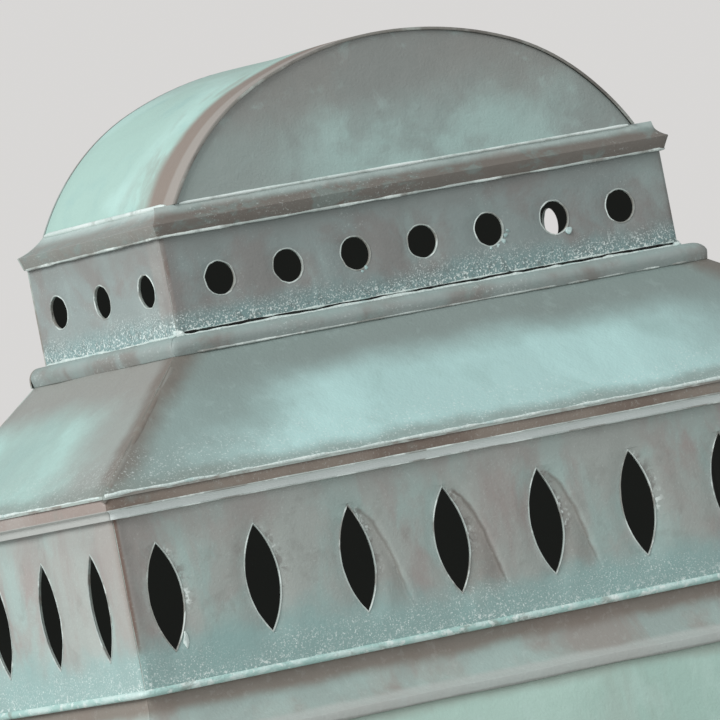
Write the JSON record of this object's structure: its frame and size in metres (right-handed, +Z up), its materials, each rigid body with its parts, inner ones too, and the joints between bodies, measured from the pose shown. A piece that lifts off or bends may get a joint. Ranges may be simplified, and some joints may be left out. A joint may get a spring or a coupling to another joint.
{
  "type": "fence post cap",
  "caption": "Tiered rectangular post cap in patinated sheet copper: vented barrel-vault cupola, hip roof, slotted frieze, cove and skirt with clamp screws.",
  "frame": {"origin": "middle of the skirt's open foot, on the plane it stands on", "axes": "+Z up, +X along the long front to its right-hand end, +Y towards the plain back"},
  "size_m": [0.2508, 0.1064, 0.2058],
  "materials": {
    "copper_mint": "light verdigris patina on copper sheet",
    "copper_grey": "grey-green patina on copper sheet, crusted near the joints",
    "copper_brown": "brown oxide with green edges on copper sheet",
    "copper_sage": "matte sage-green patina on copper sheet",
    "brass_dull": "dull turned or drawn brass"
  },
  "bodies": {
    "cap": {"vault_sheet": "copper_mint", "front_lunette": "copper_grey", "back_lunette": "copper_grey", "eave_front": "copper_brown", "eave_left": "copper_brown", "eave_right": "copper_brown", "cupola_front": "copper_grey", "cupola_left": "copper_grey", "cupola_right": "copper_grey", "cupola_angle_front_left": "copper_brown", "cupola_angle_front_right": "copper_brown", "cupola_angle_rear_left": "copper_brown", "cupola_angle_rear_right": "copper_brown", "curb_front": "copper_brown", "curb_left": "copper_brown", "curb_right": "copper_brown", "hip_front": "copper_mint", "hip_left": "copper_mint", "hip_right": "copper_mint", "hip_cleat_left": "copper_brown", "hip_cleat_right": "copper_brown", "cornice_front": "copper_brown", "cornice_left": "copper_brown", "cornice_right": "copper_brown", "frieze_front": "copper_grey", "frieze_left": "copper_grey", "frieze_right": "copper_grey", "frieze_angle_front_left": "copper_brown", "frieze_angle_front_right": "copper_brown", "frieze_angle_rear_left": "copper_brown", "frieze_angle_rear_right": "copper_brown", "bead_front": "copper_mint", "bead_left": "copper_mint", "bead_right": "copper_mint", "back_plate": "copper_grey", "cove_front": "copper_grey", "cove_back": "copper_grey", "cove_left": "copper_grey", "cove_right": "copper_grey", "skirt_front": "copper_sage", "skirt_back": "copper_sage", "skirt_left": "copper_sage", "skirt_right": "copper_sage", "seat_rail_front": "brass_dull", "seat_rail_back": "brass_dull", "seat_rail_left": "brass_dull", "seat_rail_right": "brass_dull", "bushes_left": "brass_dull", "bushes_right": "brass_dull"},
    "clamp_screw_front_left": {"clamp_screw_front_left": "brass_dull"},
    "clamp_screw_rear_left": {"clamp_screw_rear_left": "brass_dull"},
    "clamp_screw_front_right": {"clamp_screw_front_right": "brass_dull"},
    "clamp_screw_rear_right": {"clamp_screw_rear_right": "brass_dull"}
  },
  "joints": [
    {"name": "clamp_front_left", "type": "slide", "parent": "cap", "child": "clamp_screw_front_left", "axis": [1, 0, 0], "range_m": [0, 0.003]},
    {"name": "clamp_rear_left", "type": "slide", "parent": "cap", "child": "clamp_screw_rear_left", "axis": [1, 0, 0], "range_m": [0, 0.003]},
    {"name": "clamp_front_right", "type": "slide", "parent": "cap", "child": "clamp_screw_front_right", "axis": [-1, 0, 0], "range_m": [0, 0.003]},
    {"name": "clamp_rear_right", "type": "slide", "parent": "cap", "child": "clamp_screw_rear_right", "axis": [-1, 0, 0], "range_m": [0, 0.003]}
  ]
}
